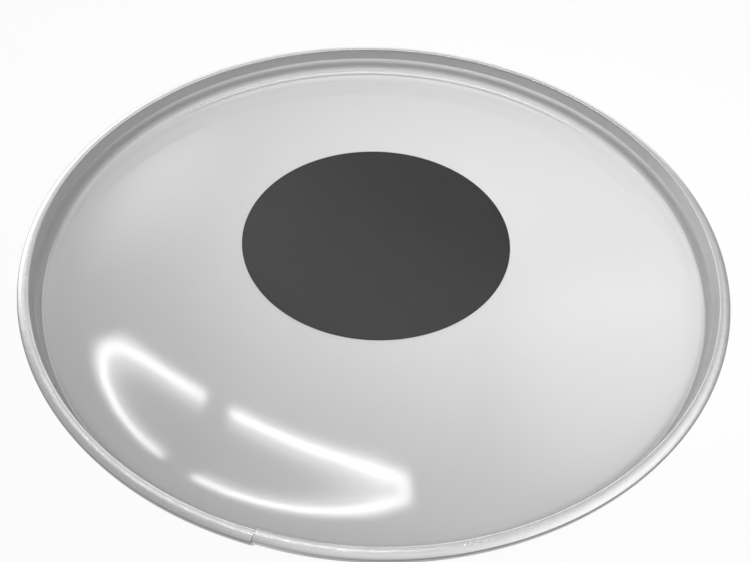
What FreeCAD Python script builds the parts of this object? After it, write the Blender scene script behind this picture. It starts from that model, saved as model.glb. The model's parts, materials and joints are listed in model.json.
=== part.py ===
import FreeCAD, Part
import math
import os

from FreeCAD import Vector

# A clear drum head for a 14 inch shell, lying with its playing face down.
# +Z points from the playing face to the open side, where the shell goes in.
# The origin is under the middle of the head, on the surface that it lies on.
# All sizes are in millimetres and degrees.

# Flesh hoop: a U channel rolled into a ring, closed side up, its ends butted
hoop_outer_d = 368.0
hoop_width = 5.2            # radially, over both walls
hoop_height = 7.3
hoop_wall = 0.7
hoop_crown_r = 1.0          # outer corners of the closed side
hoop_land = 1.5             # straight stretch of the outer wall, under the corner
hoop_draw = 1.4             # from there the outer wall is rolled in by this much at the mouth
joint_azimuth = 257.5       # where the two ends meet, from +X
joint_gap = 0.4             # slit between the ends
joint_step = 0.7            # how far one end stands in from the other
joint_sweep = 25.0          # stretch over which that end leaves the round

# Film: flat middle, dished playing area, knuckle, collar, and a margin cast into the hoop
film_thickness = 0.25
dish_angle = 10.3           # slope of the dish where the knuckle begins
dish_power = 5.0            # the dish rises with this power of the distance from the flat
knuckle_r = 4.0             # bend from the dish up into the collar, at mid thickness
collar_height = 6.6         # upright collar that shows between knuckle and hoop
slot_count = 10             # slots punched round the upright margin, which key it into the resin
slot_length = 14.0
slot_height = 1.4
slot_rise = 1.3             # from the channel's mouth to a slot's lower edge

# Resin cast into the channel round the film's margin
resin_recess = 0.5          # its surface lies this far inside the channel's mouth
resin_inner_gap = 0.3       # between the channel's inner wall and the film
resin_outer_gap = 0.25      # between the film's flange and the outer wall, at the stepped end
resin_top_gap = 1.6         # between the film's flange and the closed side

# Reinforcement dot, glued under the middle of the film
dot_d = 154.5
dot_thickness = 0.19
glue_thickness = 0.05
glue_inset = 0.3            # the glue stops this far inside the dot's edge
dot_land = 44.5             # flat film left round the dot

# Straight flats that each round stretch of a section is drawn with
crown_flat_count = 2
cavity_flat_count = 1
dish_flat_count = 4
knuckle_flat_count = 3

origin = Vector(0, 0, 0)
upward = Vector(0, 0, 1)
upright = math.pi / 2

# Radii of the hoop's walls
outer_r = hoop_outer_d / 2
inner_r = outer_r - hoop_width
cavity_inner_r = inner_r + hoop_wall
cavity_outer_r = outer_r - hoop_wall
crown_r = min(hoop_crown_r, 0.48 * hoop_width)

# Film at mid thickness, from the flat round the dot out to the flange inside the channel
slope = math.radians(dish_angle)
flat_r = dot_d / 2 + dot_land
margin_r = cavity_inner_r + resin_inner_gap + film_thickness / 2
dish_end_r = margin_r - knuckle_r * (1 - math.sin(slope))
flange_r = cavity_outer_r - joint_step - resin_outer_gap

# Heights, from the dot's face upwards
film_z = dot_thickness + glue_thickness + film_thickness / 2
dish_rise = (dish_end_r - flat_r) * math.tan(slope) / dish_power
collar_z = film_z + dish_rise + knuckle_r * math.cos(slope)
hoop_z = collar_z + collar_height
top_z = hoop_z + hoop_height
flange_z = top_z - hoop_wall - resin_top_gap - film_thickness / 2
slot_z = hoop_z + slot_rise
land_z = top_z - crown_r - hoop_land
lean = math.atan2(hoop_draw, land_z - hoop_z)


def section(points):
    outline = [Vector(r, 0, z) for r, z in points]
    return Part.Face(Part.makePolygon(outline + outline[:1]))


# Points on a quarter round between two headings, in flats
def corner(centre_r, centre_z, radius, start, end, flats):
    turns = [start + (end - start) * index / flats for index in range(flats + 1)]
    return [(centre_r + radius * math.cos(turn), centre_z + radius * math.sin(turn)) for turn in turns]


# The hoop's arched outline, set in from its outer faces, from the inner wall's foot to the outer wall's
def arch(inset, foot_z, flats):
    left = inner_r + inset
    right = outer_r - inset
    radius = crown_r - inset
    haunch_z = top_z - crown_r
    roll_z = land_z + inset * math.tan(lean / 2)
    points = [(left, foot_z)]
    points += corner(left + radius, haunch_z, radius, math.pi, upright, flats)
    points += corner(right - radius, haunch_z, radius, upright, 0, flats)
    points.append((right, roll_z))
    points.append((right - (roll_z - foot_z) * math.tan(lean), foot_z))
    return points


# Sweep a section along the hoop: round for most of the way, then drawn in towards the joint,
# on a tighter arc that leaves the round at a tangent
def sweep_hoop(face):
    half_gap = math.degrees(joint_gap / 2 / outer_r)
    leave = joint_azimuth + joint_sweep
    end_angle = math.radians(joint_sweep - half_gap)
    end_r = outer_r - joint_step
    shift = (outer_r ** 2 - end_r ** 2) / 2 / (outer_r - end_r * math.cos(end_angle))
    end_turn = math.atan2(end_r * math.sin(end_angle), end_r * math.cos(end_angle) - shift)
    shift_way = Vector(math.cos(math.radians(leave)), math.sin(math.radians(leave)), 0)
    face.rotate(origin, upward, leave)
    round_part = face.revolve(origin, upward, 360 - joint_sweep - half_gap)
    drawn_part = face.revolve(shift_way * shift, -upward, math.degrees(end_turn))
    return round_part.fuse(drawn_part).removeSplitter()


def hoop_channel():
    outside = arch(0, hoop_z, crown_flat_count)
    inside = arch(hoop_wall, hoop_z, cavity_flat_count)
    return sweep_hoop(section(outside + inside[::-1]))


def hoop_resin(film):
    cavity = arch(hoop_wall, hoop_z + resin_recess, cavity_flat_count)
    return sweep_hoop(section(cavity)).cut(film)


# Steps along a bend between two headings, each a length and a heading
def bend(radius, start, end, flats):
    turn = (end - start) / flats
    chord = 2 * radius * math.sin(turn / 2)
    return [(chord, start + turn * (index + 0.5)) for index in range(flats)]


# Steps along the dish, shorter where it curves more
def dish(flats):
    shares = [index / flats for index in range(flats + 1)]
    points = [((dish_end_r - flat_r) * share ** (2 / dish_power), dish_rise * share ** 2) for share in shares]
    steps = []
    for (start_r, start_z), (end_r, end_z) in zip(points, points[1:]):
        run = end_r - start_r
        rise = end_z - start_z
        steps.append((math.hypot(run, rise), math.atan2(rise, run)))
    return steps


# Both faces of a sheet whose middle starts at a place and follows its steps, mitred where they meet
def sheet_section(radius, height, steps, thickness):
    upper = []
    lower = []
    before = steps[0][1]
    for length, heading in steps + [(0, steps[-1][1])]:
        mitre = (before + heading) / 2
        half = thickness / 2 / math.cos((heading - before) / 2)
        across = (-half * math.sin(mitre), half * math.cos(mitre))
        upper.append((radius + across[0], height + across[1]))
        lower.append((radius - across[0], height - across[1]))
        radius += length * math.cos(heading)
        height += length * math.sin(heading)
        before = heading
    return section(upper + lower[::-1])


def slot_punches():
    tools = []
    for index in range(slot_count):
        corner_at = Vector(inner_r, -slot_length / 2, slot_z)
        tool = Part.makeBox(hoop_width, slot_length, slot_height, corner_at)
        tool.rotate(origin, upward, 360 / slot_count * index)
        tools.append(tool)
    return Part.makeCompound(tools)


def clear_film():
    steps = [(flat_r, 0)]
    steps += dish(dish_flat_count)
    steps += bend(knuckle_r, slope, upright, knuckle_flat_count)
    steps += [(flange_z - collar_z, upright), (flange_r - margin_r, 0)]
    return sheet_section(0, film_z, steps, film_thickness).revolve(origin, upward, 360).cut(slot_punches())


def dot_glue():
    return Part.makeCylinder(dot_d / 2 - glue_inset, glue_thickness, Vector(0, 0, dot_thickness))


def reinforcement_dot():
    return Part.makeCylinder(dot_d / 2, dot_thickness)


film = clear_film()
pieces = {"hoop_channel": hoop_channel(),
          "hoop_resin": hoop_resin(film),
          "clear_film": film,
          "dot_glue": dot_glue(),
          "reinforcement_dot": reinforcement_dot()}

os.makedirs("parts", exist_ok=True)
for name, shape in pieces.items():
    shape.exportStep(f"parts/{name}.step")
    print(name, len(shape.Solids), "solid", round(shape.Volume, 1), "mm3", shape.isValid())
print("height", round(top_z, 3), "hoop from", round(hoop_z, 3), "dish rise", round(dish_rise, 3))
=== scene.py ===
import json
import math

import bmesh
import bpy
from mathutils import Matrix, Vector


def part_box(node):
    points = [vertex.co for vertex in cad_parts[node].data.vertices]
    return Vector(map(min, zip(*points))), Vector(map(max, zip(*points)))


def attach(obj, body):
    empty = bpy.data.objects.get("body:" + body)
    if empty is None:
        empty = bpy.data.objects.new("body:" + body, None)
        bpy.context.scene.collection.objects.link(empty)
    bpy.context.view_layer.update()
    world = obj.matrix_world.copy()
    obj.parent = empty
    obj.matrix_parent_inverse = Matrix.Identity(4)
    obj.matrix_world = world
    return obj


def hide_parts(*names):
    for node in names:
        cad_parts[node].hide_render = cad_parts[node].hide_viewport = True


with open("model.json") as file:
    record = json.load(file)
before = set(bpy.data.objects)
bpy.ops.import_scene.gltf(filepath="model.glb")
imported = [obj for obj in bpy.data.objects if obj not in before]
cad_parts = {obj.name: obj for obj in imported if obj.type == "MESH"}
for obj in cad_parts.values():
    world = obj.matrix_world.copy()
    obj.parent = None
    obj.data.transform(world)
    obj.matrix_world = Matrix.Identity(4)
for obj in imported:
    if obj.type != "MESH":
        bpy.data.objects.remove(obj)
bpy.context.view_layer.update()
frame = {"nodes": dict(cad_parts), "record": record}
hoopLow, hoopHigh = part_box("hoop_channel")
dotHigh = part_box("reinforcement_dot")[1]
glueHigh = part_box("dot_glue")[1]
mounts = {mount["name"]: mount for mount in frame["record"]["mounts"]}
upright = math.pi / 2
print("frame loaded, nodes:", ", ".join(sorted(frame["nodes"])))


# node trees: a Wire is one socket, and sums on Wires add Math nodes
class Wire:
    def __init__(self, tree, socket=None):
        self.tree = tree
        self.socket = socket

    # any node: its settings first, then its sockets by name or number, as values or Wires
    def node(self, kind, settings=None, sockets=None):
        made = self.tree.nodes.new(kind)
        for name, value in (settings or {}).items():
            setattr(made, name, value)
        for name, value in (sockets or {}).items():
            if isinstance(value, Wire):
                self.tree.links.new(value.socket, made.inputs[name])
            else:
                made.inputs[name].default_value = value
        return Wire(self.tree, made.outputs[0] if made.outputs else None)

    def out(self, name):  # another output of the same node
        return Wire(self.tree, self.socket.node.outputs[name])

    def math(self, operation, *values):
        return self.node("ShaderNodeMath", {"operation": operation}, dict(enumerate(values)))

    def __add__(self, other):
        return self.math("ADD", self, other)

    def __radd__(self, other):
        return self.math("ADD", other, self)

    def __sub__(self, other):
        return self.math("SUBTRACT", self, other)

    def __rsub__(self, other):
        return self.math("SUBTRACT", other, self)

    def __mul__(self, other):
        return self.math("MULTIPLY", self, other)

    def __rmul__(self, other):
        return self.math("MULTIPLY", other, self)

    def __truediv__(self, other):
        return self.math("DIVIDE", self, other)

    def __pow__(self, other):
        return self.math("POWER", self, other)

    def __lt__(self, other):
        return self.math("LESS_THAN", self, other)

    def __gt__(self, other):
        return self.math("GREATER_THAN", self, other)

    # from its least before one value to 1 past another, smooth between; the values may fall
    def rise(self, start, end, least=0.0):
        return self.node("ShaderNodeMapRange", {"interpolation_type": "SMOOTHSTEP"},
                         {"Value": self, "From Min": start, "From Max": end, "To Min": least})

    def grey(self, warmth=1.0):  # a colour from one value
        return self.node("ShaderNodeCombineColor", None, {0: self, 1: self, 2: self * warmth})


def newMaterial(name):
    material = bpy.data.materials.new(name)
    material.use_nodes = True
    material.node_tree.nodes.clear()
    return material, Wire(material.node_tree)


def showSurface(shader):
    shader.node("ShaderNodeOutputMaterial", None, {"Surface": shader})


def principled(tree, sockets):
    return tree.node("ShaderNodeBsdfPrincipled", None, sockets)


def bumped(height, strength, distance):
    return height.node("ShaderNodeBump", None,
                       {"Strength": strength, "Distance": distance, "Height": height})


def mixed(factor, first, second):
    return factor.node("ShaderNodeMixShader", None, {0: factor, 1: first, 2: second})


# coordinates of a turned piece: the point itself, its height, radius and angle round the axis
def turnedCoords(tree):
    point = tree.node("ShaderNodeTexCoord").out("Object")
    x = tree.node("ShaderNodeSeparateXYZ", None, {0: point})
    y, z = x.out("Y"), x.out("Z")
    radius = x.math("SQRT", x * x + y * y)
    return {"point": point, "z": z, "radius": radius, "angle": x.math("ARCTAN2", y, x)}


def noise(vector, scale, detail=2.0, roughness=0.5):
    return vector.node("ShaderNodeTexNoise", None,
                       {"Vector": vector, "Scale": scale, "Detail": detail, "Roughness": roughness})


# fine lines that run round the axis: noise stretched along the angle
def turnedLines(at, along, across):
    around = at["z"].node("ShaderNodeCombineXYZ", None,
                          {"X": at["angle"] * along, "Y": at["radius"] * across, "Z": at["z"] * across})
    return noise(around, scale=1.0, detail=4.0, roughness=0.7)


# points on an arc, by its centre, radius and two angles
def arc(centre, radius, start, end, steps):
    points = []
    for index in range(steps + 1):
        angle = start + (end - start) * index / steps
        points.append((centre[0] + radius * math.cos(angle), centre[1] + radius * math.sin(angle)))
    return points


# steps along a bend between two headings, each a length and a heading
def bend(radius, start, end, steps):
    turn = (end - start) / steps
    return [(2 * radius * math.sin(turn / 2), start + turn * (index + 0.5)) for index in range(steps)]


roll = {
    "mergeDistance": 2e-6,  # closes the poles
    "creaseAngle": 0.6,  # sharper edges stay sharp
}


# geometry nodes: roll an outline along a round path, which may leave the round before its end
def rollTree():
    group = bpy.data.node_groups.new("rollOutline", "GeometryNodeTree")
    group.interface.new_socket("Geometry", in_out="INPUT", socket_type="NodeSocketGeometry")
    for name in ("Path Radius", "Drawn Shift", "Leave Angle", "Start Angle", "End Angle"):
        group.interface.new_socket(name, in_out="INPUT", socket_type="NodeSocketFloat")
    group.interface.new_socket("Steps", in_out="INPUT", socket_type="NodeSocketInt")
    group.interface.new_socket("Closed", in_out="INPUT", socket_type="NodeSocketBool")
    group.interface.new_socket("Finish", in_out="INPUT", socket_type="NodeSocketMaterial")
    group.interface.new_socket("Geometry", in_out="OUTPUT", socket_type="NodeSocketGeometry")
    tree = Wire(group)
    given = tree.node("NodeGroupInput")
    leave, shift = given.out("Leave Angle"), given.out("Drawn Shift")
    share = tree.node("GeometryNodeInputIndex") / (given.out("Steps") - 1)
    angle = given.out("Start Angle") + (given.out("End Angle") - given.out("Start Angle")) * share
    drawn = shift * (angle < leave)
    reach = given.out("Path Radius") - drawn
    x = reach * angle.math("COSINE", angle) + drawn * leave.math("COSINE", leave)
    y = reach * angle.math("SINE", angle) + drawn * leave.math("SINE", leave)
    place = tree.node("ShaderNodeCombineXYZ", None, {"X": x, "Y": y})
    line = tree.node("GeometryNodeMeshLine", None, {"Count": given.out("Steps")})
    path = tree.node("GeometryNodeMeshToCurve", None, {"Mesh": line})
    path = tree.node("GeometryNodeSetSplineCyclic", None, {"Geometry": path, "Cyclic": given.out("Closed")})
    path = tree.node("GeometryNodeSetPosition", None, {"Geometry": path, "Position": place})
    path = tree.node("GeometryNodeSetCurveNormal", {"mode": "Z_UP"}, {"Curve": path})
    body = tree.node("GeometryNodeCurveToMesh", None,
                     {"Curve": path, "Profile Curve": given.out("Geometry"), "Fill Caps": True})
    body = tree.node("GeometryNodeMergeByDistance", None,
                     {"Geometry": body, "Distance": roll["mergeDistance"]})
    body = tree.node("GeometryNodeSetShadeSmooth", None, {"Geometry": body, "Shade Smooth": True})
    crease = tree.node("GeometryNodeInputMeshEdgeAngle").out("Unsigned Angle") > roll["creaseAngle"]
    body = tree.node("GeometryNodeSetShadeSmooth", {"domain": "EDGE"},
                     {"Geometry": body, "Selection": crease, "Shade Smooth": False})
    body = tree.node("GeometryNodeRealizeInstances", None, {"Geometry": body})
    body = tree.node("GeometryNodeSetMaterial", None, {"Geometry": body, "Material": given.out("Finish")})
    tree.node("NodeGroupOutput", None, {"Geometry": body})
    return group


# a piece from its outline: the curve is the outline, and the nodes roll it round the axis
def rolledPiece(name, outline, finish, values):
    curve = bpy.data.curves.new(name + "Outline", "CURVE")
    curve.dimensions = "3D"
    spline = curve.splines.new("POLY")
    spline.points.add(len(outline) - 1)
    for point, (radius, height) in zip(spline.points, outline):
        point.co = (radius - values["Path Radius"], -height, 0, 1)  # outwards from the path, and down
    spline.use_cyclic_u = not values["Closed"]  # an outline that ends on the axis stays open there
    source = bpy.data.objects.new(name + "Outline", curve)
    bpy.context.scene.collection.objects.link(source)
    modifier = source.modifiers.new("roll", "NODES")
    modifier.node_group = rolling
    for item in rolling.interface.items_tree:
        if item.in_out == "INPUT" and item.name in values:
            modifier[item.identifier] = values[item.name]
        if item.in_out == "INPUT" and item.name == "Finish":
            modifier[item.identifier] = finish
    bpy.context.view_layer.update()
    shaped = source.evaluated_get(bpy.context.evaluated_depsgraph_get())
    mesh = bpy.data.meshes.new_from_object(shaped)
    mesh.name = name
    bpy.data.objects.remove(source)
    bpy.data.curves.remove(curve)
    work = bmesh.new()
    work.from_mesh(mesh)
    bmesh.ops.recalc_face_normals(work, faces=work.faces)
    work.to_mesh(mesh)
    work.free()
    piece = bpy.data.objects.new(name, mesh)
    bpy.context.scene.collection.objects.link(piece)
    low = [min(vertex.co[axis] for vertex in mesh.vertices) for axis in range(3)]
    high = [max(vertex.co[axis] for vertex in mesh.vertices) for axis in range(3)]
    print(name, len(mesh.polygons), "faces, box in mm", [round(v * 1000, 2) for v in low + high])
    return piece


def roundValues(radius, steps):  # a full turn
    return {"Path Radius": radius, "Drawn Shift": 0.0, "Leave Angle": 0.0, "Start Angle": 0.0,
            "End Angle": 2 * math.pi * (steps - 1) / steps, "Steps": steps, "Closed": True}


# flesh hoop; sizes are in metres, and what the frame knows is read from it
hoop = {
    "outerRadius": mounts["counterhoop_seat"]["dims"]["r_mm"] / 1000,
    "innerRadius": mounts["shell_bore"]["dims"]["r_mm"] / 1000,
    "foot": hoopLow.z,
    "top": hoopHigh.z,
    "wall": 0.0007,
    "crownRadius": 0.006,  # the closed side is slightly arched between its corners
    "cornerRadius": 0.001,
    "cornerSteps": 6,
    "landDepth": 0.0025,  # below the top the outer wall is rolled in, by its draw at the foot
    "draw": 0.0014,
    "jointAngle": math.radians(257.5),
    "jointGap": 0.00015,
    "jointStep": 0.0007,  # how far one end stands in from the other
    "jointSweep": math.radians(25),
    "steps": 400,
    "lines": (18, 2700),  # rolling lines, how fine along the hoop and across it
    "blotches": (90, 4.0, 0.6),  # each noise by its scale, detail and roughness
    "dents": (240, 2.0, 0.5),
    "specks": (700, 2.0, 0.6),
    "speckRange": (0.68, 0.76),  # how much of that noise is a speck
    "insideRange": (0.0005, 0.0002),  # painted shade: darker inner wall, and rougher, by the distance from its face
    "outlineShadeRange": (0.0008, 0.0003),  # and a darker outer edge, painted shade
    "shade": 0.74,
    "blotchShade": 0.1,
    "speckShade": 0.25,
    # how much the painted shade darkens the inner wall and the outer edge
    "paintedEdgeShade": 0.3,
    "warmth": 1.01,
    "roughness": 0.14,
    "lineRoughness": 0.14,
    "blotchRoughness": 0.08,
    "speckRoughness": 0.2,
    "insideRoughness": 0.15,
    "dentHeight": 1.5,
    "bump": (0.2, 0.0002),  # strength and distance
}


# the hoop's outline, set in from its faces
def hoopArch(inset):
    corner, crown, steps = hoop["cornerRadius"], hoop["crownRadius"], hoop["cornerSteps"]
    left, right = hoop["innerRadius"], hoop["outerRadius"]
    middle, base = (left + right) / 2, hoop["top"] - crown
    tilt = math.asin((right - middle - corner) / (crown - corner))
    haunch = base + (crown - corner) * math.cos(tilt)
    land = hoop["top"] - hoop["landDepth"]
    lean = math.atan2(hoop["draw"], land - hoop["foot"])
    land += inset * math.tan(lean / 2)
    points = [(left + inset, hoop["foot"])]
    points += arc((left + corner, haunch), corner - inset, math.pi, upright + tilt, steps)
    points += arc((middle, base), crown - inset, upright + tilt, upright - tilt, steps)[1:]
    points += arc((right - corner, haunch), corner - inset, upright - tilt, 0, steps)[1:]
    points.append((right - inset, land))
    points.append((right - inset - (land - hoop["foot"]) * math.tan(lean), hoop["foot"]))
    return points


def hoopOutline():
    return hoopArch(0) + hoopArch(hoop["wall"])[::-1]


# the hoop's path: round, then on a tighter arc that brings one end in by the joint's step
def hoopValues():
    outer, end = hoop["outerRadius"], hoop["outerRadius"] - hoop["jointStep"]
    halfGap = hoop["jointGap"] / 2 / outer
    leave = hoop["jointAngle"] + hoop["jointSweep"]
    sweep = hoop["jointSweep"] - halfGap
    shift = (outer ** 2 - end ** 2) / 2 / (outer - end * math.cos(sweep))
    turn = math.atan2(end * math.sin(sweep), end * math.cos(sweep) - shift)
    return {"Path Radius": outer, "Drawn Shift": shift, "Leave Angle": leave, "Start Angle": leave - turn,
            "End Angle": leave + 2 * math.pi - hoop["jointSweep"] - halfGap, "Steps": hoop["steps"],
            "Closed": False}


def aluminiumFinish():
    material, tree = newMaterial("rolledAluminium")
    at = turnedCoords(tree)
    lines = turnedLines(at, *hoop["lines"])
    blotches = noise(at["point"], *hoop["blotches"])
    dents = noise(at["point"], *hoop["dents"])
    specks = noise(at["point"], *hoop["specks"]).rise(*hoop["speckRange"])
    inside = at["radius"].rise(*[hoop["innerRadius"] + depth for depth in hoop["insideRange"]])
    paintedOutlineShade = at["radius"].rise(*[hoop["outerRadius"] - depth for depth in hoop["outlineShadeRange"]])
    shade = hoop["shade"] + hoop["blotchShade"] * blotches - hoop["speckShade"] * specks
    # painted shade: the inner wall and the outer edge are darkened
    shade = shade * (1 - hoop["paintedEdgeShade"] * inside - hoop["paintedEdgeShade"] * paintedOutlineShade)
    rough = hoop["roughness"] + hoop["lineRoughness"] * lines + hoop["blotchRoughness"] * blotches
    rough = rough + hoop["speckRoughness"] * specks + hoop["insideRoughness"] * inside
    height = lines + hoop["dentHeight"] * dents - specks
    showSurface(principled(tree, {"Base Color": shade.grey(hoop["warmth"]), "Metallic": 1.0,
                                  "Roughness": rough, "Normal": bumped(height, *hoop["bump"])}))
    return material


film = {
    "thickness": 0.00025,
    "lift": 0.000004,  # keeps it off the glue, which it touches
    "land": 0.0445,  # flat film left round the dot
    "dishAngle": math.radians(10.3),
    "dishPower": 5,  # the dish rises with this power of the distance from the flat
    "kneeRadius": 0.004,
    "collarHeight": 0.0066,
    "innerGap": 0.0003,  # room for resin at the hoop's inner wall,
    "topGap": 0.0016,  # under its closed side
    "outerGap": 0.00025,  # and round the flange
    "flatSteps": 4,
    "dishSteps": 36,
    "kneeSteps": 16,
    "uprightSteps": 3,
    "steps": 288,
    "mirror": 0.053,  # share that each wall mirrors when seen face on
    "mirrorPower": 5,  # and how steeply that grows towards edge on
    "clearTint": (0.985, 0.985, 0.985, 1),
    "roughness": 0.06,
    "smears": (14, 3.0, 0.55),
    "smearRoughness": 0.02,
    "dust": (420, 2.0, 0.5),
    "dustRange": (0.74, 0.79),
    "collarRange": (0.003, 0.005),  # heights over which the collar begins
    "collarLines": (1.6, 1400),
    "collarBump": (0.6, 0.0001),
    "paintedHighlightSide": (0.5, 0.85),  # painted highlight, whitened on one side only, by the sine of the angle,
    "paintedHighlightStart": (0.0021, 0.0024),  # where the knee begins, between these heights
    "paintedHighlightEnd": (0.003, 0.0026),
    "veil": 0.006,  # share of haze on the clean film, and what adds to it
    "smearVeil": 0.012,
    "dustVeil": 0.05,
    "collarVeil": 0.07,
    "paintedHighlightVeil": 0.5,
    "hazeShade": 0.75,
    "paintedHighlightShade": 0.2,
    "hazeRoughness": 0.6,
}
filmMargin = hoop["innerRadius"] + hoop["wall"] + film["innerGap"] + film["thickness"] / 2


# steps along the dish, which leaves the flat slowly and is steepest where the knee begins
def dishWalk(run, steps):
    rise = run * math.tan(film["dishAngle"]) / film["dishPower"]
    shares = [index / steps for index in range(steps + 1)]
    points = [(run * share ** (2 / film["dishPower"]), rise * share ** 2) for share in shares]
    return [(math.dist(a, b), math.atan2(b[1] - a[1], b[0] - a[0])) for a, b in zip(points, points[1:])]


# both faces of the film, mitred where the steps along its middle meet
def filmOutline():
    slope = film["dishAngle"]
    flatRadius = dot["radius"] + film["land"]
    dishEnd = filmMargin - film["kneeRadius"] * (1 - math.sin(slope))
    kneeTop = hoop["foot"] - film["collarHeight"]
    flangeHeight = hoop["top"] - hoop["wall"] - film["topGap"] - film["thickness"] / 2
    flangeRadius = hoop["outerRadius"] - hoop["wall"] - hoop["jointStep"] - film["outerGap"]
    walk = [(flatRadius / film["flatSteps"], 0)] * film["flatSteps"]
    walk += dishWalk(dishEnd - flatRadius, film["dishSteps"])
    walk += bend(film["kneeRadius"], slope, upright, film["kneeSteps"])
    walk += [((flangeHeight - kneeTop) / film["uprightSteps"], upright)] * film["uprightSteps"]
    walk += [(flangeRadius - filmMargin, 0)]
    radius, height, before = 0.0, glueHigh.z + film["lift"] + film["thickness"] / 2, 0.0
    upper, lower = [], []
    for length, heading in walk + [(0, 0)]:
        mitre = (before + heading) / 2
        half = film["thickness"] / 2 / math.cos((heading - before) / 2)
        upper.append((radius - half * math.sin(mitre), height + half * math.cos(mitre)))
        lower.append((radius + half * math.sin(mitre), height - half * math.cos(mitre)))
        radius += length * math.cos(heading)
        height += length * math.sin(heading)
        before = heading
    return upper + lower[::-1]


# each wall mirrors a share and lets the rest through; forming leaves lines on the collar
def filmFinish():
    material, tree = newMaterial("clearFilm")
    at = turnedCoords(tree)
    smears = noise(at["point"], *film["smears"])
    dust = noise(at["point"], *film["dust"]).rise(*film["dustRange"])
    collar = at["z"].rise(*film["collarRange"])
    # crease here is a painted highlight: a whiter haze on one side of the knee, in place of the lamps'
    # reflection in the bend
    side = at["angle"].math("SINE", at["angle"]).rise(*film["paintedHighlightSide"])
    crease = side * at["z"].rise(*film["paintedHighlightStart"]) * at["z"].rise(*film["paintedHighlightEnd"])
    formed = bumped(turnedLines(at, *film["collarLines"]) * collar, *film["collarBump"])
    rough = film["roughness"] + film["smearRoughness"] * smears
    mirror = principled(tree, {"Base Color": (1, 1, 1, 1), "Metallic": 1.0, "Roughness": rough,
                               "Normal": formed})
    clear = tree.node("ShaderNodeBsdfTransparent", None, {"Color": film["clearTint"]})
    facing = tree.node("ShaderNodeLayerWeight").out("Facing")
    bare = at["radius"] > dot["radius"]  # all clear over the dot, where the glue under it has the gloss
    gloss = (film["mirror"] + (1 - film["mirror"]) * facing ** film["mirrorPower"]) * bare
    hazeShade = film["hazeShade"] + film["paintedHighlightShade"] * crease
    haze = principled(tree, {"Base Color": hazeShade.grey(), "Roughness": film["hazeRoughness"]})
    veil = film["veil"] + film["smearVeil"] * smears + film["dustVeil"] * dust
    veil = bare * (veil + film["collarVeil"] * collar + film["paintedHighlightVeil"] * crease)
    showSurface(mixed(veil, mixed(gloss, clear, mirror), haze))
    return material


dot = {
    "radius": dotHigh.x,
    "drop": 0.000004,  # keeps it off the glue, which it touches
    "edgeRadius": 0.00006,
    "edgeSteps": 4,
    "rimWidth": 0.00048,  # narrow ring inside the edge, so that the faces shade flat
    "steps": 192,
    "grain": (2600, 2.0, 0.5),
    "cloud": (30, 3.0, 0.5),
    "shade": 0.012,
    "grainShade": 0.006,
    "cloudShade": 0.004,
    "warmth": 1.02,
    "roughness": 0.42,
    "cloudRoughness": 0.1,
    "bump": (0.2, 0.00005),
}


def dotOutline():
    edge, steps, top = dot["edgeRadius"], dot["edgeSteps"], dotHigh.z - dot["drop"]
    rim = dot["radius"] - edge
    inner = rim - dot["rimWidth"]
    points = [(0.0, top), (inner, top)]
    points += arc((rim, top - edge), edge, upright, 0, steps)
    points += arc((rim, edge), edge, 0, -upright, steps)
    return points + [(inner, 0.0), (0.0, 0.0)]


def dotFinish():
    material, tree = newMaterial("dotFilm")
    at = turnedCoords(tree)
    grain = noise(at["point"], *dot["grain"])
    cloud = noise(at["point"], *dot["cloud"])
    shade = dot["shade"] + dot["grainShade"] * grain + dot["cloudShade"] * cloud
    rough = dot["roughness"] + dot["cloudRoughness"] * cloud
    showSurface(principled(tree, {"Base Color": shade.grey(dot["warmth"]), "Roughness": rough,
                                  "Normal": bumped(grain, *dot["bump"])}))
    return material


resin = {
    "swirl": (160, 4.0, 0.6),
    "dark": (0.46, 0.43, 0.35, 1),
    "pale": (0.64, 0.61, 0.52, 1),
    "pitScale": 900,
    "pitRange": (0.16, 0.08),
    "roughness": 0.22,
    "swirlRoughness": 0.2,
    "bump": (0.3, 0.0002),
}


def resinFinish():
    material, tree = newMaterial("castResin")
    at = turnedCoords(tree)
    swirl = noise(at["point"], *resin["swirl"])
    cells = tree.node("ShaderNodeTexVoronoi", {"feature": "F1"},
                      {"Vector": at["point"], "Scale": resin["pitScale"]})
    pits = cells.out("Distance").rise(*resin["pitRange"])
    colour = tree.node("ShaderNodeMix", {"data_type": "RGBA"},
                       {0: swirl, 6: resin["dark"], 7: resin["pale"]}).out(2)
    rough = resin["roughness"] + resin["swirlRoughness"] * swirl
    showSurface(principled(tree, {"Base Color": colour, "Roughness": rough,
                                  "Normal": bumped(swirl - pits, *resin["bump"])}))
    return material


glue = {
    "mottle": (60, 2.0, 0.5),
    "shade": 0.022,
    "mottleShade": 0.006,
    "paintedLightShade": 0.04,  # painted light: paler to one side, as if lit more from there
    "paintedLightAngle": -2.16,
    "paintedLightRange": (-0.08, 0.08),
    "roughness": 0.4,
    "mottleRoughness": 0.05,
    "specular": 0.3,
}


def glueFinish():
    material, tree = newMaterial("dotGlue")
    at = turnedCoords(tree)
    mottle = noise(at["point"], *glue["mottle"])
    # painted light: the glue is lighter towards one side of the dot
    across = at["radius"] * at["angle"].math("COSINE", at["angle"] - glue["paintedLightAngle"])
    pale = across.rise(*glue["paintedLightRange"])
    shade = glue["shade"] + glue["paintedLightShade"] * pale + glue["mottleShade"] * mottle
    rough = glue["roughness"] + glue["mottleRoughness"] * mottle
    showSurface(principled(tree, {"Base Color": shade.grey(), "Roughness": rough,
                                  "Specular IOR Level": glue["specular"]}))
    return material


def carriedNode(name, material):  # a CAD node that shows as it is
    frame["nodes"][name].data.materials.clear()
    frame["nodes"][name].data.materials.append(material)


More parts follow.
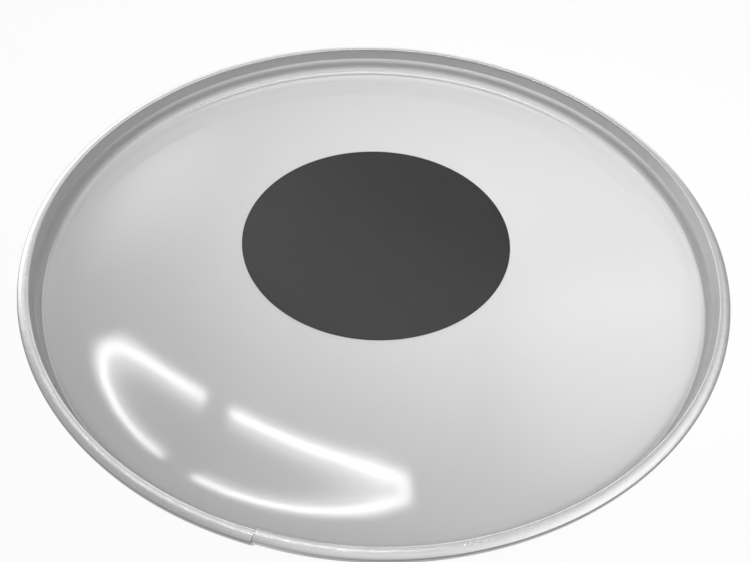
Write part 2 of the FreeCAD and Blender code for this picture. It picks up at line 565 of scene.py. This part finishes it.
rolling = rollTree()
hoopPiece = rolledPiece("fleshHoop", hoopOutline(), aluminiumFinish(), hoopValues())
filmPiece = rolledPiece("clearHead", filmOutline(), filmFinish(), roundValues(filmMargin, film["steps"]))
dotPiece = rolledPiece("centreDot", dotOutline(), dotFinish(), roundValues(dot["radius"], dot["steps"]))
for piece, cadNode, slot in ((hoopPiece, "hoop_channel", "hoop"), (filmPiece, "clear_film", "film"),
                             (dotPiece, "reinforcement_dot", "dot")):
    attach(piece, "root")
    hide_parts(cadNode)
carriedNode("hoop_resin", resinFinish())
carriedNode("dot_glue", glueFinish())
print("pieces made")


def addStage(name, data):
    thing = bpy.data.objects.new(name, data)
    bpy.context.scene.collection.objects.link(thing)
    return thing


floor = {
    "size": 12.0,
    "drop": 0.0002,  # keeps it off the dot's face
    "shade": 0.9,
    "mottle": (6, 3.0),
    "mottleShade": 0.01,
    "roughness": 0.9,
    "white": 0.95,  # share of plain white that the bare floor shows, the rest keeps the shadow
    "mirroredWhite": 0.5,  # the same where the hoop and the film mirror it
}


def floorPiece():
    half = floor["size"] / 2
    corners = [(-half, -half, 0), (half, -half, 0), (half, half, 0), (-half, half, 0)]
    mesh = bpy.data.meshes.new("floor")
    mesh.from_pydata(corners, [], [(0, 1, 2, 3)])
    addStage("floor", mesh).location.z = -floor["drop"]
    material, tree = newMaterial("paleFloor")
    shade = floor["shade"] + floor["mottleShade"] * noise(turnedCoords(tree)["point"], *floor["mottle"])
    lit = principled(tree, {"Base Color": shade.grey(), "Roughness": floor["roughness"],
                            "Specular IOR Level": 0.0})
    white = tree.node("ShaderNodeEmission", None, {"Color": (1, 1, 1, 1), "Strength": 1.0})
    ray = tree.node("ShaderNodeLightPath")
    mirrored = ray.math("MAXIMUM", ray.out("Is Glossy Ray"), ray.out("Is Transmission Ray"))
    bare = ray.out("Transparent Depth") < 0.5  # not seen through the film
    plain = bare * (floor["white"] * ray.out("Is Camera Ray") + floor["mirroredWhite"] * mirrored)
    below = tree.node("ShaderNodeNewGeometry").out("Backfacing")  # clear from below, so that the face shows
    showSurface(mixed(below, mixed(plain, lit, white), tree.node("ShaderNodeBsdfTransparent")))
    mesh.materials.append(material)


# two lamp tubes in a bowed line, each with a white tray behind it
tubes = {
    "height": 1.52,
    "distance": 0.47,
    "lean": -0.447,  # how the line runs back, per metre to the right
    "bow": 0.308,  # and how it bows about its middle
    "middle": -0.4,
    "spans": ((-0.94, -0.566), (-0.47, 0.13)),
    "width": 0.014,
    "strength": 15.0,
    "trayLift": 0.01,
    "traySpans": ((-0.94, -0.566), (-0.47, 0.06)),
    "trayWidth": 0.08,
    "trayStrength": 2.6,
    "steps": 24,
}


# a glowing strip along the lamps' line, which only mirrors show
def lampStrip(name, span, width, height, strength):
    steps = tubes["steps"]
    corners = []
    for index in range(steps + 1):
        x = span[0] + (span[1] - span[0]) * index / steps
        y = tubes["distance"] + tubes["lean"] * x + tubes["bow"] * (x - tubes["middle"]) ** 2
        corners += [(x, y - width / 2, height), (x, y + width / 2, height)]
    mesh = bpy.data.meshes.new(name)
    mesh.from_pydata(corners, [], [(2 * i, 2 * i + 2, 2 * i + 3, 2 * i + 1) for i in range(steps)])
    material, tree = newMaterial(name)
    showSurface(tree.node("ShaderNodeEmission", None, {"Strength": strength}))
    mesh.materials.append(material)
    strip = addStage(name, mesh)
    strip.visible_diffuse = False
    strip.visible_camera = False


def tubeLamps():
    for index, span in enumerate(tubes["spans"]):
        lampStrip(f"lampTube{index}", span, tubes["width"], tubes["height"], tubes["strength"])
    trayHeight = tubes["height"] + tubes["trayLift"]
    for index, span in enumerate(tubes["traySpans"]):
        lampStrip(f"lampTray{index}", span, tubes["trayWidth"], trayHeight, tubes["trayStrength"])


key = {
    "place": (0.018, -0.25, 0.522),
    "aim": (0.386, 0.939, 0.0),
    "cone": math.radians(143),
    "blend": 1,
    "size": 0.1,  # how soft its shadow is
    "power": 17.2,
}


def keyLamp():
    light = bpy.data.lights.new("keyLamp", "SPOT")
    light.spot_size = key["cone"]
    light.spot_blend = key["blend"]
    light.shadow_soft_size = key["size"]
    light.energy = key["power"]
    lamp = addStage("keyLamp", light)
    lamp.location = key["place"]
    way = Vector(key["aim"]) - Vector(key["place"])
    lamp.rotation_euler = way.to_track_quat("-Z", "Y").to_euler()
    lamp.visible_glossy = False


# a grey room with a dark foot and bright patches: each has its strength, then the stretches of the
# sky's direction over which it comes in, where a fourth value is the least that a stretch leaves
sky = {
    "strength": 1.1,
    "fill": 0.3,  # share of the sky that lights matt surfaces
    "seen": 0.86,  # plain pale sky behind the floor
    "foot": 0.12,
    "room": 0.3,
    "roomRange": (0.02, 0.2),
    "zenith": 0.18,
    "zenithRange": (0.95, 0.98),
    "patches": {
        "ceiling": (0.28, ("x", -0.34, -0.16), ("x", 0.28, 0.12), ("y", -0.6, -0.35), ("z", 0.56, 0.7),
                    ("z", 0.95, 0.8, 0.7)),
        "leftWall": (1.1, ("x", -0.2, -0.42), ("y", 0.3, 0.5), ("z", 0.72, 0.58), ("z", 0.08, 0.25)),
        "farWall": (1.0, ("y", 0.7, 0.82), ("z", 0.06, 0.16), ("z", 0.5, 0.42)),
        "rightWall": (0.8, ("x", 0.3, 0.5), ("y", 0.55, 0.35), ("y", -0.6, -0.35), ("z", 0.6, 0.72)),
        "rightCorner": (0.55, ("x", 0.12, 0.34), ("y", 0.68, 0.58), ("y", -0.6, -0.35), ("z", 0.6, 0.7)),
    },
}


def softWorld():
    world = bpy.data.worlds.new("studio")
    bpy.context.scene.world = world
    world.use_nodes = True
    world.node_tree.nodes.clear()
    tree = Wire(world.node_tree)
    x = tree.node("ShaderNodeSeparateXYZ", None, {0: tree.node("ShaderNodeTexCoord").out("Generated")})
    way = {"x": x, "y": x.out("Y"), "z": x.out("Z")}
    bright = 0.0
    for patch, *stretches in sky["patches"].values():
        for axis, *values in stretches:
            patch = patch * way[axis].rise(*values)
        bright = patch.math("MAXIMUM", patch, bright)
    glow = sky["foot"] + sky["room"] * way["z"].rise(*sky["roomRange"]) + bright
    glow = glow + sky["zenith"] * way["z"].rise(*sky["zenithRange"])
    ray = tree.node("ShaderNodeLightPath")
    share = sky["fill"] + (1 - sky["fill"]) * ray.out("Is Glossy Ray")
    seen = ray.out("Is Camera Ray")
    shade = sky["seen"] * seen + glow * share * (1 - seen)
    light = tree.node("ShaderNodeBackground", None, {"Color": shade.grey(), "Strength": sky["strength"]})
    tree.node("ShaderNodeOutputWorld", None, {"Surface": light})


view = {
    "elevation": math.radians(48.756),
    "distance": 0.27991,
    "aim": Vector((0.00018, -0.05601, 0.0202)),
    "roll": math.radians(2.205),
    "focalPixels": 569.7,
    "imageWidth": 750,
    "sensorWidth": 36,
    "clipStart": 0.01,
}


def photoCamera():
    camera = bpy.data.cameras.new("photoCamera")
    camera.sensor_width = view["sensorWidth"]
    camera.lens = view["focalPixels"] / view["imageWidth"] * view["sensorWidth"]
    camera.clip_start = view["clipStart"]
    body = bpy.data.objects.new("photoCamera", camera)
    bpy.context.scene.collection.objects.link(body)
    rise, turn = view["elevation"], view["roll"]
    back = Vector((0, -math.cos(rise), math.sin(rise)))
    right, up = Vector((1, 0, 0)), Vector((0, math.sin(rise), math.cos(rise)))
    tilted = right * math.cos(turn) + up * math.sin(turn)
    axes = Matrix((tilted, back.cross(tilted), back)).transposed()
    body.matrix_world = Matrix.Translation(view["aim"] + back * view["distance"]) @ axes.to_4x4()
    bpy.context.scene.camera = body


floorPiece()
tubeLamps()
keyLamp()
softWorld()
photoCamera()
bpy.context.scene.view_settings.view_transform = "Standard"
print("stage, lamps and camera set")
